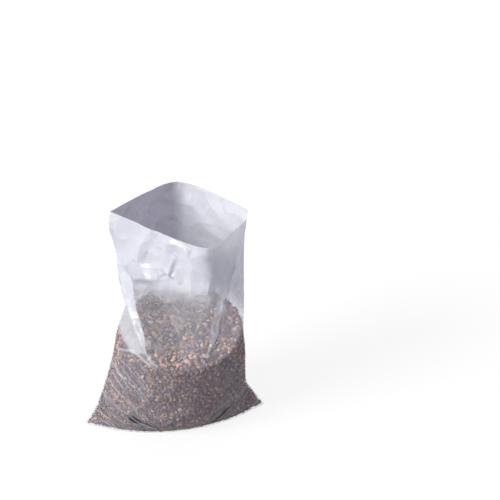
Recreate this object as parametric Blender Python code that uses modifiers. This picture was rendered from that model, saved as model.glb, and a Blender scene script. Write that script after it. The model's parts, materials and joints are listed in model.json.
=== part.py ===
"""A clear polythene bag standing open, part filled with gravel.

The bag is a lay-flat tube of film, sealed straight across its bottom. It stands
on its base with the seal along X under it, so that the two bottom corners reach
out to the left and right as ears. X runs along the seal, -Y is the front, Z is
up, and the origin lies on the floor at the middle of the seal. Metres.
"""

import math
import random
from dataclasses import dataclass

import bmesh
import bpy
from mathutils import Matrix, Vector, noise
from mathutils.bvhtree import BVHTree

# The film
LAY_FLAT_WIDTH = 0.305
BAG_LENGTH = 0.432
FILM_THICKNESS = 0.00025
SEAL_FLANGE = 0.006
SEAM_DRAW_IN = 0.005  # each ear tip, pulled in from the flat corner by the bulge

# The stance: how the filled bag spreads on the floor and stands open
FOOT_FRONT = 0.049
FOOT_BACK = 0.050
FULL_HEIGHT = 0.060  # where the bulge first takes up the whole width of film
SHOULDER_DROP = 0.018  # from the top of the fill at the back down to where the bag narrows
NECK_RISE = 0.036  # and up to the waist above it
MOUTH_TURN = math.radians(-12.4)
MOUTH_SHIFT_BACK = 0.013
APEX_ROUNDING = 0.55  # how broadly the film turns at the mouth's front and back points
FRONT_APEX = 0.58  # the mouth's front point, from the middle, as a share of its half width
BACK_APEX = -0.15
LEFT_RIM_LIFT = 0.0
FRONT_RIM_LIFT = -0.003
RIGHT_RIM_LIFT = 0.006
BACK_RIM_LIFT = -0.003
RIGHT_RIM_DIP = -0.007  # in front of the right corner, where the film turns over a little
RIM_DIP_COLUMNS = 2.5  # how far from the corner that is

# The ridges that run down the film
RIDGE_SPREAD = 0.020
RIDGE_FADE = 0.012  # next to a side fold, where no ridge can push the film

# The fill
FILL_FRONT_HEIGHT = 0.133
FILL_BACK_HEIGHT = 0.178
FILL_CROWN = 0.012
FILL_CLEARANCE = 0.0004
HEAP_RIPPLE = 0.006
HEAP_RIPPLE_LENGTH = 0.045
WALL_SLANT = 1.3  # the level gap at a slanting wall is this much wider than the true one
WALL_RELIEF = 0.0045  # how deep the stones leave hollows behind the film
RELIEF_START = 0.030  # distance from a side fold at which the hollows have their full depth
GRAIN_SIZE = 0.0060
GRAIN_RELIEF = 0.0016
LARGE_STONE_SIZE = 0.0125
STONE_FORM = (1.15, 0.85, 0.62)  # length, width and thickness against the stone's size
STONE_UNEVENNESS = 0.35
STONE_CLEARANCE = 0.0003
STONE_LIFT_STEP = 0.0001
STONE_SEED = 7

# How finely the film is modelled
CORNER_COLUMNS = 5
PANEL_COLUMNS = 16
CURVE_POINTS = 160
BASE_RINGS = 3
FOOT_ROWS = (0.004, 0.011, 0.020)  # heights of the closely spaced rows at the floor
WALL_ROW = 0.0118
SMOOTH_ANGLE = math.radians(35)


@dataclass(frozen=True)
class Station:
    """One level of the standing bag: how far its side folds reach, and its form.

    left and right are shares of half the film's flat width. lens is 1 where the
    section is pointed at both side folds, and pouch is 1 where it has opened into
    the four-cornered mouth. Where both are 0 it is an oval.
    """

    height: float
    left: float
    right: float
    lens: float
    pouch: float


@dataclass(frozen=True)
class Fold:
    """A ridge that runs down the film from a corner of the mouth to the fill.

    Places across a panel run from 0 at its left side fold to 1 at its right one. The
    ridge crosses from one place to the other between two shares of the way up from
    the fill, its crest stands proud of the film, and beside it the film is hollow.
    """

    mouth_place: float
    fill_place: float
    crossing_start: float
    crossing_end: float
    crest: float
    hollow: float


@dataclass(frozen=True)
class LargeStone:
    """A larger stone that lies on the heap.

    across runs from -1 at the left wall to 1 at the right one, and back from 0 at the
    front wall to 1 at the back one. size is a multiple of the usual large stone.
    """

    across: float
    back: float
    size: float
    turn: float
    tone: str


def ear_tip():
    """How far each bottom corner reaches from the middle of the seal."""
    return LAY_FLAT_WIDTH / 2 - SEAM_DRAW_IN


def stations(mouth_height):
    """The levels that the film is drawn through, from the floor to the mouth."""
    tip = ear_tip() / (LAY_FLAT_WIDTH / 2)
    shoulder = FILL_BACK_HEIGHT - SHOULDER_DROP
    neck = FILL_BACK_HEIGHT + NECK_RISE
    belly = shoulder - FULL_HEIGHT
    above = mouth_height - neck
    return [
        Station(0.0, -tip, tip, 1.0, 0.0),
        Station(0.4 * FULL_HEIGHT, -0.865, 0.872, 0.90, 0.0),
        Station(0.8 * FULL_HEIGHT, -0.793, 0.780, 0.65, 0.0),
        Station(FULL_HEIGHT + 0.2 * belly, -0.715, 0.764, 0.30, 0.0),
        Station(FULL_HEIGHT + 0.6 * belly, -0.633, 0.757, 0.05, 0.0),
        Station(shoulder, -0.580, 0.741, 0.0, 0.05),
        Station((shoulder + neck) / 2, -0.512, 0.744, 0.0, 0.19),
        Station(neck, -0.452, 0.748, 0.0, 0.35),
        Station(neck + 0.18 * above, -0.469, 0.748, 0.0, 0.50),
        Station(neck + 0.55 * above, -0.538, 0.754, 0.0, 0.85),
        Station(neck + 0.80 * above, -0.584, 0.767, 0.0, 0.95),
        Station(mouth_height, -0.570, 0.793, 0.0, 1.0),
    ]


# Front panel first, then back panel, each with its left and its right ridge.
FRONT_FOLDS = (
    Fold(0.045, 0.37, 0.0, 0.55, 0.0080, 0.0090),
    Fold(0.955, 0.60, 0.40, 1.0, 0.0070, 0.0080),
)
BACK_FOLDS = (
    Fold(0.060, 0.30, 0.1, 0.8, 0.0050, 0.0060),
    Fold(0.940, 0.70, 0.2, 0.9, 0.0060, 0.0060),
)

LARGE_STONES = (
    LargeStone(-0.05, 0.78, 1.25, 0.3, "pale"),
    LargeStone(0.42, 0.86, 1.45, 1.1, "dark"),
    LargeStone(-0.62, 0.52, 1.05, 2.2, "pale"),
    LargeStone(-0.55, 0.34, 1.15, 0.9, "pale"),
    LargeStone(-0.38, 0.50, 0.95, 2.8, "brown"),
    LargeStone(0.05, 0.52, 1.00, 1.7, "brown"),
    LargeStone(0.62, 0.50, 1.10, 0.5, "brown"),
    LargeStone(0.30, 0.14, 1.00, 2.5, "pale"),
    LargeStone(-0.15, 0.26, 0.90, 0.1, "brown"),
    LargeStone(0.22, 0.34, 1.10, 1.3, "dark"),
    LargeStone(0.72, 0.72, 0.95, 2.0, "pale"),
    LargeStone(-0.34, 0.74, 0.95, 0.7, "dark"),
)
STONE_COLORS = {
    "pale": (0.62, 0.52, 0.42),
    "brown": (0.40, 0.26, 0.17),
    "dark": (0.10, 0.08, 0.08),
}


def smooth_step(value):
    """0 below 0, 1 above 1, and a smooth rise between."""
    t = min(max(value, 0.0), 1.0)
    return t * t * (3 - 2 * t)


def through(points, height):
    """A smooth curve through (height, value) points, level at its two ends."""
    if height <= points[0][0]:
        return points[0][1]
    if height >= points[-1][0]:
        return points[-1][1]
    index = max(i for i in range(len(points) - 1) if points[i][0] <= height)

    def slope(i):
        low, high = max(i - 1, 0), min(i + 1, len(points) - 1)
        return (points[high][1] - points[low][1]) / (points[high][0] - points[low][0])

    (h0, v0), (h1, v1) = points[index], points[index + 1]
    step = h1 - h0
    t = (height - h0) / step
    return (
        (2 * t**3 - 3 * t**2 + 1) * v0
        + (t**3 - 2 * t**2 + t) * step * slope(index)
        + (3 * t**2 - 2 * t**3) * v1
        + (t**3 - t**2) * step * slope(index + 1)
    )


def soft_corner(x, apex):
    """A rounded corner of height about 1 at apex, falling straight to 0 at -1 and 1."""

    def drop(at):
        left, right = (at + 1) / (apex + 1), (1 - at) / (1 - apex)
        return 0.5 * (left + right - math.hypot(left - right, APEX_ROUNDING))

    return drop(x) - drop(-1) - (drop(1) - drop(-1)) * (x + 1) / 2


def panel_form(x, lens, pouch, apex):
    """How far a panel stands out at x, from -1 to 1 across it, on a scale of 1."""
    arch = max(1 - x * x, 0.0)
    oval = math.sqrt(arch)
    lower = lens * arch + (1 - lens) * oval
    return (1 - pouch) * lower + pouch * soft_corner(x, apex)


def run_length(points):
    """The length of a line through the points."""
    return sum((b - a).length for a, b in zip(points, points[1:]))


def panel_curve(reach, depth, lens, pouch, apex):
    """One panel's section: its points from the left side fold to the right one."""
    curve = []
    for i in range(CURVE_POINTS + 1):
        x = -math.cos(math.pi * i / CURVE_POINTS)
        curve.append(Vector((reach * x, depth * panel_form(x, lens, pouch, apex))))
    return curve


def depth_for_width(reach, lens, pouch, apex):
    """How far a panel of the film's full width bows out between its side folds."""
    low, high = 0.0, LAY_FLAT_WIDTH
    for _ in range(24):
        middle = (low + high) / 2
        if run_length(panel_curve(reach, middle, lens, pouch, apex)) < LAY_FLAT_WIDTH:
            low = middle
        else:
            high = middle
    return low


def places_along(curve, shares):
    """The points at the given shares of the curve's length, with their directions."""
    reached = [0.0]
    for a, b in zip(curve, curve[1:]):
        reached.append(reached[-1] + (b - a).length)
    found, index = [], 0
    for share in shares:
        wanted = share * reached[-1]
        while index < len(curve) - 2 and reached[index + 1] < wanted:
            index += 1
        step = reached[index + 1] - reached[index]
        t = (wanted - reached[index]) / step if step else 0.0
        a, b = curve[index], curve[index + 1]
        found.append((a.lerp(b, t), (b - a).normalized()))
    return found


class BagForm:
    """The bag's standing shape: a point for each place round the film and height."""

    def __init__(self):
        self.depths = {}
        self.mouth_height = self.solve_mouth_height()
        self.levels = stations(self.mouth_height)
        self.rim_start = FILL_BACK_HEIGHT + NECK_RISE
        self.depths = {}

    def value(self, name, height):
        """A station's value at any height."""
        return through([(s.height, getattr(s, name)) for s in self.levels], height)

    def side_folds(self, height):
        """Where the left and the right side fold are at this height."""
        half = LAY_FLAT_WIDTH / 2
        return self.value("left", height) * half, self.value("right", height) * half

    def solve_mouth_height(self):
        """The height at which the front panel's own length of film is used up."""
        height = BAG_LENGTH
        for _ in range(4):
            self.mouth_height = height
            self.levels = stations(height)
            self.depths = {}
            rows = [height * i / 24 for i in range(25)]
            middle = [self.panel(h, -1, [0.5])[0] for h in rows]
            used = SEAL_FLANGE + FOOT_FRONT + run_length(middle)
            height += BAG_LENGTH - used
        return height

    def depth(self, height, side):
        """How far the front (side -1) or back (side 1) panel bows out."""
        key = (round(height, 6), side)
        if key not in self.depths:
            self.depths[key] = self.solve_depth(height, side)
        return self.depths[key]

    def solve_depth(self, height, side):
        """The depth that uses up the film's width, or less where the bag meets the floor."""
        apex = FRONT_APEX if side < 0 else BACK_APEX
        at = max(height, FULL_HEIGHT)
        left, right = self.side_folds(at)
        lens, pouch = self.value("lens", at), self.value("pouch", at)
        full = depth_for_width((right - left) / 2, lens, pouch, apex)
        foot = FOOT_FRONT if side < 0 else FOOT_BACK
        rise = min(height / FULL_HEIGHT, 1.0)
        return foot + (full - foot) * math.sin(math.pi / 2 * rise)

    def share_above_fill(self, height):
        """0 at the top of the fill, 1 at the mouth."""
        start = FILL_FRONT_HEIGHT
        return min(max((height - start) / (self.mouth_height - start), 0.0), 1.0)

    def fold_place(self, fold, height):
        """Where a ridge crosses this height, as a place across its panel."""
        reach = fold.crossing_end - fold.crossing_start
        crossed = smooth_step((self.share_above_fill(height) - fold.crossing_start) / reach)
        return fold.fill_place + (fold.mouth_place - fold.fill_place) * crossed

    def fold_push(self, folds, height, place):
        """How far the ridges move the film out (or, beside a ridge, in)."""
        share = self.share_above_fill(height)
        if share in (0.0, 1.0):
            return 0.0
        push = 0.0
        for side, fold in zip((-1, 1), folds):
            ridge = self.fold_place(fold, height)
            outer = (place - ridge) * side
            if outer <= 0:
                push += fold.crest * math.exp(outer * LAY_FLAT_WIDTH / RIDGE_SPREAD)
                continue
            side_fold = 1.0 if side > 0 else 0.0
            across = min(outer / abs(side_fold - ridge), 1.0)
            push += fold.crest * (1 - across) ** 2
            push -= fold.hollow * math.sin(math.pi * across**0.7)
        return push * math.sin(math.pi * share**0.75) ** 1.5

    def panel(self, height, side, places):
        """The points of one panel at this height, from its left side fold on."""
        left, right = self.side_folds(height)
        lens, pouch = self.value("lens", height), self.value("pouch", height)
        apex = FRONT_APEX if side < 0 else BACK_APEX
        curve = panel_curve((right - left) / 2, self.depth(height, side), lens, pouch, apex)
        folds = FRONT_FOLDS if side < 0 else BACK_FOLDS
        turning = smooth_step((height - FULL_HEIGHT) / (self.mouth_height - FULL_HEIGHT))
        cosine, sine = math.cos(MOUTH_TURN * turning), math.sin(MOUTH_TURN * turning)
        points = []
        for place, (at, along) in zip(places, places_along(curve, places)):
            out = Vector((-along.y, along.x))
            fade = smooth_step(min(place, 1 - place) * LAY_FLAT_WIDTH / RIDGE_FADE)
            moved = at + out * self.fold_push(folds, height, place) * fade
            x, y = moved.x, moved.y * side
            points.append(
                Vector(
                    (
                        (left + right) / 2 + x * cosine - y * sine,
                        MOUTH_SHIFT_BACK * turning + x * sine + y * cosine,
                        height,
                    )
                )
            )
        return points

    def column_places(self, folds, height):
        """Where the film's columns cross a panel, with one along each ridge."""
        first, second = (self.fold_place(fold, height) for fold in folds)
        stops = (0.0, first, second, 1.0)
        counts = (CORNER_COLUMNS, PANEL_COLUMNS, CORNER_COLUMNS)
        places = []
        for low, high, count in zip(stops, stops[1:], counts):
            places += [low + (high - low) * i / count for i in range(count)]
        return places + [1.0]

    def ring(self, height):
        """The film's closed section at one height, anticlockwise seen from above."""
        front = self.panel(height, -1, self.column_places(FRONT_FOLDS, height))
        back = self.panel(height, 1, self.column_places(BACK_FOLDS, height))
        return front[:-1] + back[:0:-1]

    def wall_share(self, point):
        """0 at a side fold, rising to 1 where the bag is thick enough for hollows."""
        left, right = self.side_folds(point.z)
        return smooth_step(min(point.x - left, right - point.x) / RELIEF_START)

    def rim_lift(self, column, count):
        """How far the mouth's edge stands above or below its mean height here."""
        half = count / 2
        stops = (
            (0, LEFT_RIM_LIFT),
            (half * (1 + FRONT_APEX) / 2, FRONT_RIM_LIFT),
            (half - RIM_DIP_COLUMNS, RIGHT_RIM_DIP),
            (half, RIGHT_RIM_LIFT),
            (half * (3 - BACK_APEX) / 2, BACK_RIM_LIFT),
            (count, LEFT_RIM_LIFT),
        )
        for (start, low), (end, high) in zip(stops, stops[1:]):
            if start <= column <= end:
                return low + (high - low) * smooth_step((column - start) / (end - start))
        return LEFT_RIM_LIFT


def inset_ring(ring, distances):
    """The closed ring moved inwards, each point by its own distance."""
    moved = []
    for i, point in enumerate(ring):
        before, after = ring[i - 1], ring[(i + 1) % len(ring)]
        arriving = (point - before).to_2d().normalized()
        leaving = (after - point).to_2d().normalized()
        inward = Vector((-arriving.y - leaving.y, arriving.x + leaving.x)).normalized()
        spread = max(inward.dot(Vector((-leaving.y, leaving.x))), 0.25)
        step = inward * distances[i] / spread
        moved.append(point + Vector((step.x, step.y, 0.0)))
    return moved


def new_object(name, mesh_maker, collection, material):
    """An object in the collection, with its mesh from a bmesh that mesh_maker fills."""
    mesh = bpy.data.meshes.new(name)
    shape = bmesh.new()
    mesh_maker(shape)
    bmesh.ops.remove_doubles(shape, verts=shape.verts, dist=1e-6)
    bmesh.ops.recalc_face_normals(shape, faces=shape.faces)
    shape.to_mesh(mesh)
    shape.free()
    mesh.shade_smooth()
    mesh.set_sharp_from_angle(angle=SMOOTH_ANGLE)
    mesh.materials.append(material)
    made = bpy.data.objects.new(name, mesh)
    collection.objects.link(made)
    return made


def stitch(shape, rows):
    """Joins closed rows of vertices with triangles, each row to the next.

    The triangles lean with the ridges, which run towards the middle of a panel.
    """
    for lower, upper in zip(rows, rows[1:]):
        count = len(lower)
        for i in range(count):
            j = (i + 1) % count
            if (4 * i // count) % 2 == 0:
                pair = ((lower[i], lower[j], upper[j]), (lower[i], upper[j], upper[i]))
            else:
                pair = ((lower[i], lower[j], upper[i]), (lower[j], upper[j], upper[i]))
            for corners in pair:
                if len(set(corners)) == 3:
                    shape.faces.new(corners)


def floor_rows(shape, edge_ring, rings):
    """Rows across the flat base, from the seal in the middle out to the edge."""
    count = len(edge_ring)
    seam = [
        shape.verts.new((edge_ring[i].x, 0.0, edge_ring[i].z))
        for i in range(count // 2 + 1)
    ]
    rows = [seam + seam[-2:0:-1]]
    for ring in range(1, rings):
        share = ring / rings
        row = []
        for i, edge in enumerate(edge_ring):
            if i in (0, count // 2):
                row.append(rows[0][i])
            else:
                seam_x = rows[0][i].co.x
                x = seam_x + (edge.x - seam_x) * share
                row.append(shape.verts.new((x, edge.y * share, edge.z)))
        rows.append(row)
    return rows


def wall_heights(top):
    """The heights of the film's rows, closer together near the floor."""
    foot = FOOT_ROWS[-1]
    count = round((top - foot) / WALL_ROW)
    return [0.0, *FOOT_ROWS] + [foot + (top - foot) * i / count for i in range(1, count + 1)]


def film_surface(form):
    """Returns a function that draws the bag as an open surface, its outside."""

    def fill(shape):
        edge = form.ring(0.0)
        rows = floor_rows(shape, edge, BASE_RINGS)
        for height in wall_heights(form.mouth_height):
            ring = form.ring(height)
            raised = smooth_step((height - form.rim_start) / (form.mouth_height - form.rim_start))
            row = []
            for i, point in enumerate(ring):
                if height == 0.0 and i in (0, len(ring) // 2):
                    row.append(rows[0][i])
                    continue
                point.z += form.rim_lift(i, len(ring)) * raised
                row.append(shape.verts.new(point))
            rows.append(row)
        stitch(shape, rows)

    return fill


def box_maker(low, high):
    """Returns a function that draws a box between two corners."""

    def fill(shape):
        made = bmesh.ops.create_cube(shape, size=1.0)
        size, middle = high - low, (high + low) / 2
        bmesh.ops.scale(shape, vec=size, verts=made["verts"])
        bmesh.ops.translate(shape, vec=middle, verts=made["verts"])

    return fill


def boolean(target, other, operation):
    """Adds a Boolean with another object to the target."""
    modifier = target.modifiers.new(operation.title(), "BOOLEAN")
    modifier.operation = operation
    modifier.object = other
    modifier.solver = "EXACT"


def as_helper(made):
    """Marks an object as a cutter or guide, which isn't part of the model."""
    made.hide_render = True
    made.display_type = "WIRE"


def material(name, color, roughness, alpha=1.0):
    """A plain Principled material."""
    made = bpy.data.materials.new(name)
    made.use_nodes = True
    shader = made.node_tree.nodes["Principled BSDF"]
    shader.inputs["Base Color"].default_value = (*color, 1.0)
    shader.inputs["Roughness"].default_value = roughness
    shader.inputs["Alpha"].default_value = alpha
    return made


def build_film(form, parts, helpers):
    """The bag itself: one piece of film, with its bottom seal and flange."""
    clear = material("clear_polythene", (0.80, 0.82, 0.88), 0.25, 0.45)
    film = new_object("film_bag", film_surface(form), parts, clear)
    wall = film.modifiers.new("Wall", "SOLIDIFY")
    wall.thickness = FILM_THICKNESS
    wall.offset = -1.0
    wall.use_even_offset = True
    reach = ear_tip() + SEAL_FLANGE / 2
    low = Vector((-reach, -SEAL_FLANGE / 2, 0.0))
    high = Vector((reach, SEAL_FLANGE / 2, 2 * FILM_THICKNESS))
    flange = new_object("seal_flange", box_maker(low, high), helpers, clear)
    as_helper(flange)
    boolean(film, flange, "UNION")
    return film


def heap_top(form, x, y):
    """The height of the gravel's mean surface: it falls from the back to the front."""
    front, back = -form.depth(FILL_FRONT_HEIGHT, -1), form.depth(FILL_FRONT_HEIGHT, 1)
    share = min(max((y - front) / (back - front), 0.0), 1.0)
    middle = 4 * share * (1 - share)
    slope = FILL_FRONT_HEIGHT + (FILL_BACK_HEIGHT - FILL_FRONT_HEIGHT) * share
    ripple = noise.noise(Vector((x, y, 0.0)) / HEAP_RIPPLE_LENGTH) * HEAP_RIPPLE
    return slope + FILL_CROWN * middle + ripple


def inner_volume(form):
    """Returns a function that draws the space inside the film, below the neck."""

    def fill(shape):
        inset = (FILM_THICKNESS + FILL_CLEARANCE) * WALL_SLANT
        floor = 2 * FILM_THICKNESS + FILL_CLEARANCE
        top = FILL_BACK_HEIGHT + FILL_CROWN + HEAP_RIPPLE + GRAIN_SIZE
        heights = [floor] + [h for h in wall_heights(form.mouth_height) if floor < h < top]
        hollows = random.Random(STONE_SEED)
        rows = []
        for height in heights + [top]:
            ring = form.ring(height)
            relief = 0.0 if height < FOOT_ROWS[-1] else WALL_RELIEF
            insets = [inset + hollows.random() * relief * form.wall_share(p) for p in ring]
            rows.append([shape.verts.new(point) for point in inset_ring(ring, insets)])
        stitch(shape, rows)
        shape.faces.new(rows[0])
        shape.faces.new(rows[-1])

    return fill


def heap_maker(form):
    """Returns a function that draws a block whose top is the gravel's grainy heap."""

    def fill(shape):
        across = int(LAY_FLAT_WIDTH / GRAIN_SIZE)
        made = bmesh.ops.create_grid(
            shape, x_segments=across, y_segments=across, size=LAY_FLAT_WIDTH / 2
        )
        grains = random.Random(STONE_SEED)
        for vertex in made["verts"]:
            x, y = vertex.co.x, vertex.co.y
            vertex.co.x += grains.uniform(-0.3, 0.3) * GRAIN_SIZE
            vertex.co.y += grains.uniform(-0.3, 0.3) * GRAIN_SIZE
            vertex.co.z = heap_top(form, x, y) + grains.uniform(-1, 1) * GRAIN_RELIEF
        rim = [edge for edge in shape.edges if edge.is_boundary]
        skirt = bmesh.ops.extrude_edge_only(shape, edges=rim)["geom"]
        lowest = [item for item in skirt if isinstance(item, bmesh.types.BMVert)]
        for vertex in lowest:
            vertex.co.z = -GRAIN_SIZE
        ends = [edge for edge in shape.edges if edge.is_boundary]
        bmesh.ops.contextual_create(shape, geom=ends)

    return fill


def build_fill(form, parts, helpers):
    """The gravel as one solid: the space in the bag, up to the heap's surface."""
    gravel = material("gravel", (0.36, 0.29, 0.26), 0.9)
    fill = new_object("gravel_fill", inner_volume(form), parts, gravel)
    heap = new_object("heap_block", heap_maker(form), helpers, gravel)
    as_helper(heap)
    boolean(fill, heap, "INTERSECT")
    return fill


def stone_maker(size, seed):
    """Returns a function that draws a rounded, uneven stone round the origin."""

    def fill(shape):
        made = bmesh.ops.create_icosphere(shape, subdivisions=2, radius=size / 2)
        for vertex in made["verts"]:
            bulge = noise.noise(vertex.co / size + Vector((seed, 0, 0)))
            vertex.co *= 1 + STONE_UNEVENNESS * bulge
        bmesh.ops.scale(shape, vec=STONE_FORM, verts=made["verts"])

    return fill


def free_fall(stone, ground):
    """How far a stone can drop straight down before it touches the ground."""
    graph = bpy.context.evaluated_depsgraph_get()
    surface = BVHTree.FromObject(ground, graph)
    body = BVHTree.FromObject(stone, graph)
    down, up = Vector((0, 0, -1)), Vector((0, 0, 1))
    drops = []
    for vertex in stone.data.vertices:
        drops.append(surface.ray_cast(vertex.co, down)[3])
    for vertex in ground.evaluated_get(graph).data.vertices:
        drops.append(body.ray_cast(vertex.co, up)[3])
    return min(drop for drop in drops if drop is not None)


def settle(stone, ground):
    """Lays a stone on the ground, just clear of it."""
    fall = free_fall(stone, ground) - STONE_CLEARANCE
    stone.data.transform(Matrix.Translation((0, 0, -fall)))
    graph = bpy.context.evaluated_depsgraph_get()
    surface = BVHTree.FromObject(ground, graph)
    while surface.overlap(BVHTree.FromObject(stone, graph)):
        stone.data.transform(Matrix.Translation((0, 0, STONE_LIFT_STEP)))
        stone.data.update()
        graph.update()


def build_large_stones(form, ground, parts):
    """The larger stones, spread over the heap and lying on it."""
    tones = {name: material(name + "_stone", color, 0.8) for name, color in STONE_COLORS.items()}
    height = (FILL_FRONT_HEIGHT + FILL_BACK_HEIGHT) / 2
    left, right = form.side_folds(height)
    front, back = -form.depth(height, -1), form.depth(height, 1)
    for number, plan in enumerate(LARGE_STONES, 1):
        maker = stone_maker(LARGE_STONE_SIZE * plan.size, number)
        stone = new_object(f"large_stone_{number:02d}", maker, parts, tones[plan.tone])
        x = (left + right) / 2 + (right - left) / 2 * plan.across
        y = front + (back - front) * plan.back
        place = Vector((x, y, heap_top(form, x, y) + LARGE_STONE_SIZE * 2))
        stone.data.transform(Matrix.Translation(place) @ Matrix.Rotation(plan.turn, 4, "Z"))
        settle(stone, ground)


def main():
    """Builds the bag and what it holds."""
    for left_over in list(bpy.data.objects):
        bpy.data.objects.remove(left_over)
    parts = bpy.data.collections.new("plastic_bag")
    helpers = bpy.data.collections.new("helpers")
    bpy.context.scene.collection.children.link(parts)
    bpy.context.scene.collection.children.link(helpers)
    form = BagForm()
    build_film(form, parts, helpers)
    gravel = build_fill(form, parts, helpers)
    build_large_stones(form, gravel, parts)


main()
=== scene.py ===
"""A clear polythene bag of gravel, dressed for its portrait.

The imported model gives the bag's size, its fill and its larger stones. This script
draws the film again as a fine sheet with its creases, packs separate stones inside
it, and sets the studio round it. Metres, +Z up, the front is -Y.
"""

import json
import logging
import math
import random
from dataclasses import dataclass, field
from enum import Enum
from typing import Iterable, Iterator, Sequence

import bmesh
import bpy
import numpy as np
from bpy.types import Material, Mesh, Node, NodeSocket, Object, World
from mathutils import Matrix, Vector, noise
from mathutils.bvhtree import BVHTree

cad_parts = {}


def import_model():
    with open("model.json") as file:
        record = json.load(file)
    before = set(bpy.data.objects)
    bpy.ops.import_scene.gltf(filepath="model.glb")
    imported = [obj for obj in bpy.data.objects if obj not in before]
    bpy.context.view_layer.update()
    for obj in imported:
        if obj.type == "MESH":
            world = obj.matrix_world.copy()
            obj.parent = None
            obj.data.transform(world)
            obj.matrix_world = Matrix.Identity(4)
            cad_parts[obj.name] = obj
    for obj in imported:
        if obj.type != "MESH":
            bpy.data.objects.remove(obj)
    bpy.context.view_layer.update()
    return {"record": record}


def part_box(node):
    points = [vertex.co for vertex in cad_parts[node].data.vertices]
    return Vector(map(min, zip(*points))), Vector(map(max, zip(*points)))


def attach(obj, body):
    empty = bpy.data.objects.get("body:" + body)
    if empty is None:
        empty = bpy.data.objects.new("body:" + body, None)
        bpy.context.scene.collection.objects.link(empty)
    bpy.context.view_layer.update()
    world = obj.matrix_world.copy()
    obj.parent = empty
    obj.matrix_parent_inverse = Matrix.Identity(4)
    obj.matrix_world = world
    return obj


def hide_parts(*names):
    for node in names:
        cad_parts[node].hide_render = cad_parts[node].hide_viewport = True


log = logging.getLogger("bag_of_gravel")

Color = tuple[float, float, float]
Place = tuple[float, float]
Span = tuple[float, float]
Outline = tuple[Place, ...]
Input = float | tuple[float, ...] | NodeSocket

BODY = "root"
MERGE_DISTANCE = 1e-6
LEAST_DISTANCE = 1e-5


class Panel(Enum):
    """One of the two faces of the lay-flat tube, by the side of the bag it is on."""

    FRONT = -1
    BACK = 1


class Layer(Enum):
    """How deep a layer of stones lies, in stone thicknesses below the fill's surface."""

    OUTER = 0.0
    UNDER = 1.0


@dataclass(frozen=True)
class Station:
    """One level of the standing bag.

    left and right are where its side folds are, as shares of half the flat width.
    lens is 1 where the section is pointed at both side folds, and pouch is 1 where it
    has opened into the four-cornered mouth. Where both are 0 it is an oval.
    """

    height: float
    left: float
    right: float
    lens: float
    pouch: float


@dataclass(frozen=True)
class Ridge:
    """A ridge that runs down the film from a corner of the mouth to the fill.

    Places across a panel run from 0 at its left side fold to 1 at its right one.
    """

    mouth_place: float
    fill_place: float
    crossing_start: float
    crossing_end: float
    crest: float
    hollow: float


@dataclass(frozen=True)
class Crease:
    """A sharp fold line in the film.

    points are (distance round the film from the left side fold, height), in metres.
    rise is how far the line stands out, or in where it is negative. The film falls
    away from it over before_width on the line's left and after_width on its right.
    haze is how much milkier the film is along the line. A crisp crease has a flat
    facet on each side, which ends in a line of its own.
    """

    points: tuple[Place, ...]
    rise: float
    before_width: float
    after_width: float
    haze: float = 0.0
    crisp: bool = False


@dataclass(frozen=True)
class HazePatch:
    """A part of the film that is milkier or clearer than the rest.

    outline is a closed run of places as a crease's are. change is added to the haze
    inside it, and fades out over softness.
    """

    outline: tuple[Place, ...]
    change: float
    softness: float


def smooth_step(value: np.ndarray) -> np.ndarray:
    """Rises smoothly from 0 below 0 to 1 above 1."""
    t = np.clip(value, 0.0, 1.0)
    return t * t * (3 - 2 * t)


def opaque(color: Color) -> tuple[float, ...]:
    """A colour as a node's socket takes it."""
    return (*color, 1.0)


def link(piece: Object) -> Object:
    """Puts an object into the scene and returns it."""
    bpy.context.scene.collection.objects.link(piece)
    return piece


def as_mesh(shape: bmesh.types.BMesh, name: str) -> Mesh:
    """Turns a bmesh into a new mesh.

    Args:
        shape: The bmesh, which is freed.
        name: The mesh's name.

    Returns:
        The mesh.
    """
    mesh = bpy.data.meshes.new(name)
    shape.to_mesh(mesh)
    shape.free()
    return mesh


def as_object(shape: bmesh.types.BMesh, name: str) -> Object:
    """Turns a bmesh into an object of the scene, and frees it."""
    return link(bpy.data.objects.new(name, as_mesh(shape, name)))


def grid_vertices(
    shape: bmesh.types.BMesh, size: tuple[int, int]
) -> Iterator[tuple[bmesh.types.BMVert, tuple[int, int]]]:
    """Adds a flat grid to a bmesh.

    Args:
        shape: The bmesh to add to.
        size: How many rows and how many columns of vertices the grid has.

    Yields:
        Each of its vertices, with its row and column.
    """
    rows, columns = size
    made = bmesh.ops.create_grid(shape, x_segments=columns - 1, y_segments=rows - 1, size=1.0)
    for vertex in made["verts"]:
        column = round((vertex.co.x + 1) / 2 * (columns - 1))
        row = round((vertex.co.y + 1) / 2 * (rows - 1))
        yield vertex, (row, column)


def evaluated_mesh(source: Object) -> Mesh:
    """A new mesh as an object's modifiers make it."""
    graph = bpy.context.evaluated_depsgraph_get()
    return bpy.data.meshes.new_from_object(source.evaluated_get(graph))


def evaluated_copy(source: Object, name: str) -> Object:
    """A new object with the mesh that another one's modifiers make.

    Args:
        source: The object to copy, which stays as it is.
        name: The new object's name.

    Returns:
        The copy, with its doubles merged and its place in its mesh.
    """
    mesh = evaluated_mesh(source)
    mesh.transform(source.matrix_world)
    mesh.name = name
    mesh.materials.clear()
    shape = bmesh.new()
    shape.from_mesh(mesh)
    bmesh.ops.remove_doubles(shape, verts=shape.verts, dist=MERGE_DISTANCE)
    shape.to_mesh(mesh)
    shape.free()
    return link(bpy.data.objects.new(name, mesh))


def settle_modifiers(piece: Object) -> None:
    """Applies a piece's modifiers to its mesh.

    Args:
        piece: The piece, whose own mesh is replaced.
    """
    mesh = evaluated_mesh(piece)
    piece.modifiers.clear()
    piece.data = mesh


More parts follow.
